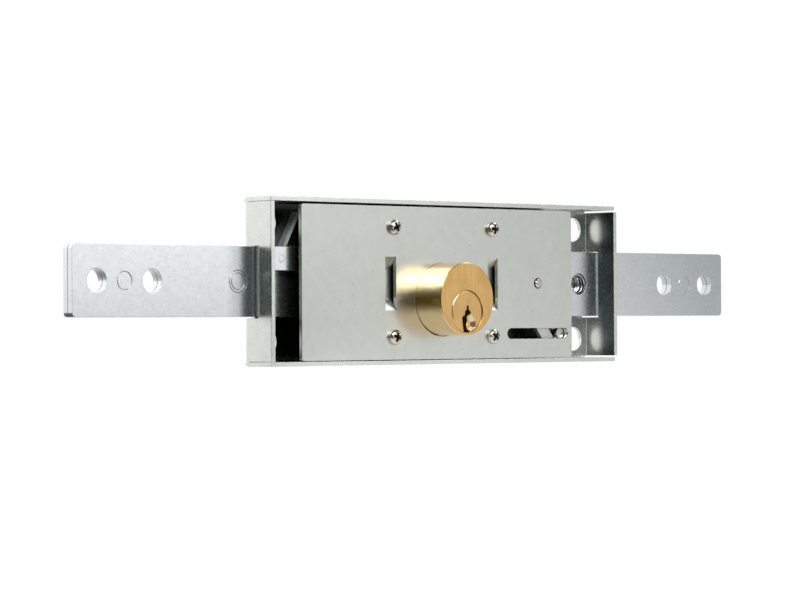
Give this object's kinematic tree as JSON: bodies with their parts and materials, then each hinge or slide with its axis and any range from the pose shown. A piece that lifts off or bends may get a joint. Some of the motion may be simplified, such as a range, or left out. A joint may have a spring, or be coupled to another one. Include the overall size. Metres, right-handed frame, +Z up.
{
  "type": "security door lock",
  "caption": "Centre lock for a roller door: a turn of the key plug draws two flat bolts in from both sides of a folded steel case.",
  "frame": {"origin": "on the rear face of the case, where the cylinder's axis crosses the case's mid height", "axes": "+X along the bolts, towards the right bolt as seen from the key side; +Z up; +Y to the rear, away from the key"},
  "size_m": [0.316, 0.0274, 0.0584],
  "materials": {
    "case_steel": "bright zinc plate",
    "cover_steel": "satin zinc plate",
    "bolt_steel": "bright zinc plate",
    "zinc_plated_steel": "zinc plate",
    "screw_steel": "bright nickel plate",
    "spring_steel": "drawn wire",
    "satin_brass": "satin",
    "pin_brass": "turned"
  },
  "bodies": {
    "case": {"case_tray": "case_steel", "cover_plate": "cover_steel", "cover_screws": "screw_steel", "pillar_1": "zinc_plated_steel", "pillar_2": "zinc_plated_steel", "pillar_3": "zinc_plated_steel", "pillar_4": "zinc_plated_steel", "clamp_plate": "zinc_plated_steel", "cylinder_body": "satin_brass", "driver_pins": "pin_brass", "pin_springs": "spring_steel", "chamber_caps": "satin_brass", "lever_pivot_rivet": "zinc_plated_steel"},
    "left_bolt": {"left_bolt_rear_plate": "bolt_steel", "left_bolt_front_plate": "bolt_steel", "left_outer_rivet": "bolt_steel", "left_inner_rivet": "bolt_steel", "left_stop_block": "bolt_steel", "stop_block_rivets": "bolt_steel", "left_drive_pin": "zinc_plated_steel"},
    "right_bolt": {"right_bolt_rear_plate": "bolt_steel", "right_bolt_front_plate": "bolt_steel", "right_outer_rivet": "bolt_steel", "right_inner_rivet": "bolt_steel", "right_guide_pin": "zinc_plated_steel"},
    "rocker": {"rocker_lever": "zinc_plated_steel"},
    "plug": {"key_plug": "satin_brass", "key_pins": "pin_brass", "plug_retainer": "zinc_plated_steel", "drive_pinion": "zinc_plated_steel", "pinion_screw": "screw_steel"}
  },
  "joints": [
    {"name": "left_bolt_slide", "type": "slide", "parent": "case", "child": "left_bolt", "axis": [1, 0, 0], "range_m": [0, 0.02765]},
    {"name": "right_bolt_slide", "type": "slide", "parent": "case", "child": "right_bolt", "axis": [1, 0, 0], "range_m": [-0.02765, 0]},
    {"name": "rocker_pivot", "type": "hinge", "parent": "case", "child": "rocker", "pos_m": [0.0484, -0.0096, 0], "axis": [0, 1, 0], "range_deg": [0, 73.53]},
    {"name": "plug_turn", "type": "hinge", "parent": "case", "child": "plug", "pos_m": [0, -0.015, -0.0105], "axis": [0, 1, 0], "range_deg": [0, 360]}
  ],
  "couplings": [
    {"joint": "right_bolt_slide", "follows": "left_bolt_slide", "ratio": -1},
    {"joint": "rocker_pivot", "follows": "left_bolt_slide", "rad_per_m": 46.423},
    {"joint": "plug_turn", "follows": "left_bolt_slide", "rad_per_m": 227.27}
  ]
}
